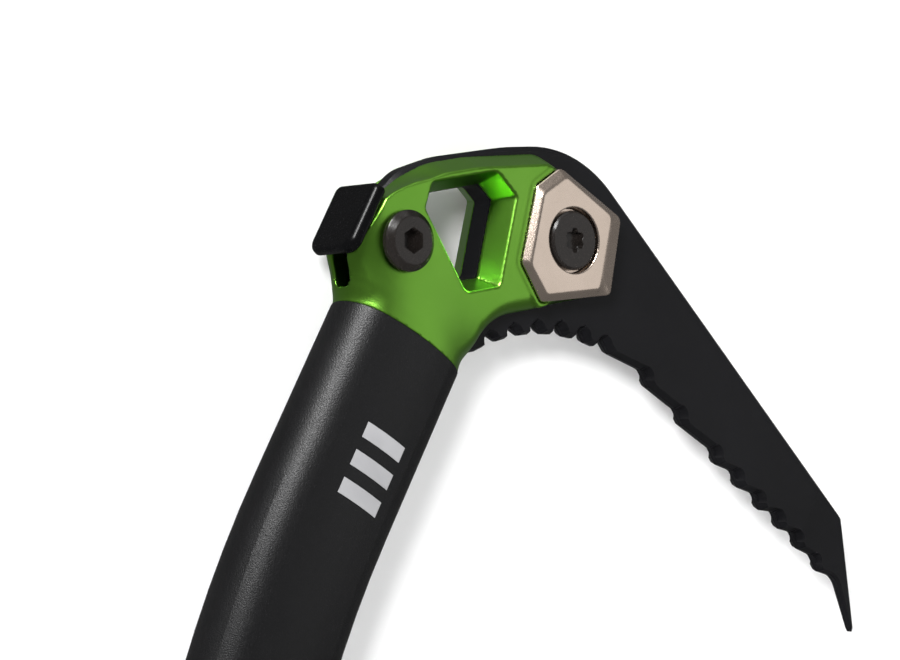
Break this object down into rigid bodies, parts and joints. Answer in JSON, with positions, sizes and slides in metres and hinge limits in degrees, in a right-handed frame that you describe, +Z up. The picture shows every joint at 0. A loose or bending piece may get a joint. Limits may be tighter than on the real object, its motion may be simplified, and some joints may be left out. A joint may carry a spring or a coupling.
{
  "type": "ice axe",
  "caption": "Technical ice tool: toothed steel pick and small hammer bolted in a green aluminium head on a curved oval shaft, with a rubber grip, sliding pommel and clip-in spike.",
  "frame": {"origin": "centre of the eye through the head, in the tool's middle plane", "axes": "+Z up, with the tool upright as it hangs by its head; +X forward, where the pick points; +Y across the tool"},
  "size_m": [0.2183, 0.0323, 0.457],
  "materials": {
    "shaft_coat": "fine textured black powder coat",
    "green_anodised": "satin green anodised",
    "black_steel": "satin black coated steel",
    "bronze_steel": "satin bronze-toned steel",
    "black_screw": "black oxide, low gloss",
    "black_hammer": "satin black coated steel",
    "grip_plastic": "matt black moulded plastic",
    "grip_rubber": "soft black rubber",
    "bright_steel": "satin stainless steel",
    "pommel_plastic": "matt black moulded nylon"
  },
  "bodies": {
    "tool": {"shaft_tube": "shaft_coat", "head": "green_anodised", "pick": "black_steel", "pick_weight_left": "bronze_steel", "pick_weight_right": "bronze_steel", "pick_bolt": "black_screw", "pick_nut": "black_screw", "hammer": "black_hammer", "hammer_bolt": "black_screw", "hammer_nut": "black_screw", "grip_core": "grip_plastic", "grip_sleeve": "grip_rubber", "upper_grip": "grip_rubber", "end_plug": "grip_plastic", "spike": "bright_steel", "spike_pins": "bright_steel"},
    "pommel": {"pommel": "pommel_plastic", "clamp_screw": "bright_steel", "clamp_nut": "bright_steel", "cam_washer": "bright_steel", "lever_pivot": "bright_steel"},
    "lever": {"cam_lever": "green_anodised"}
  },
  "joints": [
    {"name": "pommel_slide", "type": "slide", "parent": "tool", "child": "pommel", "axis": [-0.1874, 0, 0.9823], "range_m": [0, 0.02]},
    {"name": "lever_open", "type": "hinge", "parent": "pommel", "child": "lever", "pos_m": [-0.06359, -0.0115, -0.38771], "axis": [0.1874, 0, -0.9823], "range_deg": [0, 100]}
  ]
}
